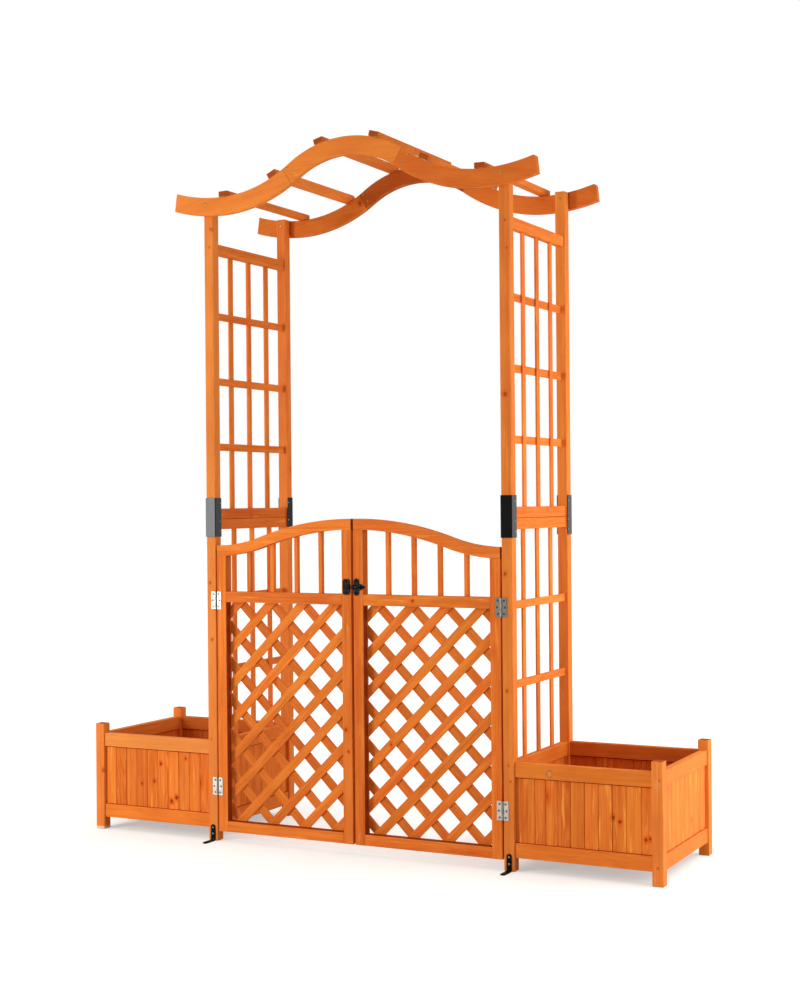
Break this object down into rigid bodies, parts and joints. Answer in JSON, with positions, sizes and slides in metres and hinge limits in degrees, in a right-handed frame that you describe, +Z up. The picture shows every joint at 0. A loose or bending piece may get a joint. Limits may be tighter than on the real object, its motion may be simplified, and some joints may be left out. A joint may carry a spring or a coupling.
{
  "type": "garden arch with gate",
  "caption": "Timber garden arch with curved beams, trellis sides, a pair of lattice gate leaves with a slide bolt, and a planter box on each side.",
  "frame": {"origin": "on the ground under the middle of the whole object's bounding box", "axes": "+Z up, +X to the right as seen from the gate side, -Y towards the viewer in front of the gate"},
  "size_m": [2.001, 0.564, 2.2503],
  "materials": {
    "post_timber": "orange-brown stained softwood, satin",
    "rail_timber": "orange-brown stained softwood, satin",
    "board_timber": "orange-brown stained softwood, satin",
    "lattice_timber": "orange-brown stained softwood, satin",
    "black_steel": "black powder coat",
    "zinc": "bright zinc plate"
  },
  "bodies": {
    "arch": {"post_front_left_lower": "post_timber", "post_front_left_upper": "post_timber", "post_front_right_lower": "post_timber", "post_front_right_upper": "post_timber", "post_rear_left_lower": "post_timber", "post_rear_left_upper": "post_timber", "post_rear_right_lower": "post_timber", "post_rear_right_upper": "post_timber", "sleeve_front_left": "black_steel", "sleeve_front_right": "black_steel", "sleeve_rear_left": "black_steel", "sleeve_rear_right": "black_steel", "beam_front_left": "rail_timber", "beam_front_crown": "rail_timber", "beam_front_right": "rail_timber", "beam_rear_left": "rail_timber", "beam_rear_crown": "rail_timber", "beam_rear_right": "rail_timber", "purlin_1": "rail_timber", "purlin_2": "rail_timber", "purlin_3": "rail_timber", "purlin_4": "rail_timber", "purlin_5": "rail_timber", "purlin_6": "rail_timber", "trellis_left_upper": "lattice_timber", "trellis_left_lower": "lattice_timber", "trellis_right_upper": "lattice_timber", "trellis_right_lower": "lattice_timber", "planter_left_front_wall": "board_timber", "planter_left_rear_wall": "board_timber", "planter_left_end": "board_timber", "planter_left_floor": "board_timber", "planter_right_front_wall": "board_timber", "planter_right_rear_wall": "board_timber", "planter_right_end": "board_timber", "planter_right_floor": "board_timber", "post_left_upper_hinge_plate": "zinc", "post_left_lower_hinge_plate": "zinc", "post_right_upper_hinge_plate": "zinc", "post_right_lower_hinge_plate": "zinc", "ground_anchor_left": "black_steel", "ground_anchor_right": "black_steel"},
    "left_leaf": {"gate_left_hinge_stile": "post_timber", "gate_left_latch_stile": "post_timber", "gate_left_top_rail": "rail_timber", "gate_left_middle_rail": "rail_timber", "gate_left_lattice": "lattice_timber", "gate_left_upper_hinge_plate": "zinc", "gate_left_lower_hinge_plate": "zinc", "latch_keeper": "black_steel"},
    "right_leaf": {"gate_right_hinge_stile": "post_timber", "gate_right_latch_stile": "post_timber", "gate_right_top_rail": "rail_timber", "gate_right_middle_rail": "rail_timber", "gate_right_lattice": "lattice_timber", "gate_right_upper_hinge_plate": "zinc", "gate_right_lower_hinge_plate": "zinc", "latch_case": "black_steel"},
    "bolt": {"latch_bolt": "black_steel"}
  },
  "joints": [
    {"name": "left_leaf_hinge", "type": "hinge", "parent": "arch", "child": "left_leaf", "pos_m": [-0.5055, -0.229, 0.48], "axis": [0, 0, -1], "range_deg": [0, 160]},
    {"name": "right_leaf_hinge", "type": "hinge", "parent": "arch", "child": "right_leaf", "pos_m": [0.5055, -0.229, 0.48], "axis": [0, 0, 1], "range_deg": [0, 160]},
    {"name": "bolt_slide", "type": "slide", "parent": "right_leaf", "child": "bolt", "axis": [-1, 0, 0], "range_m": [0, 0.015]}
  ]
}
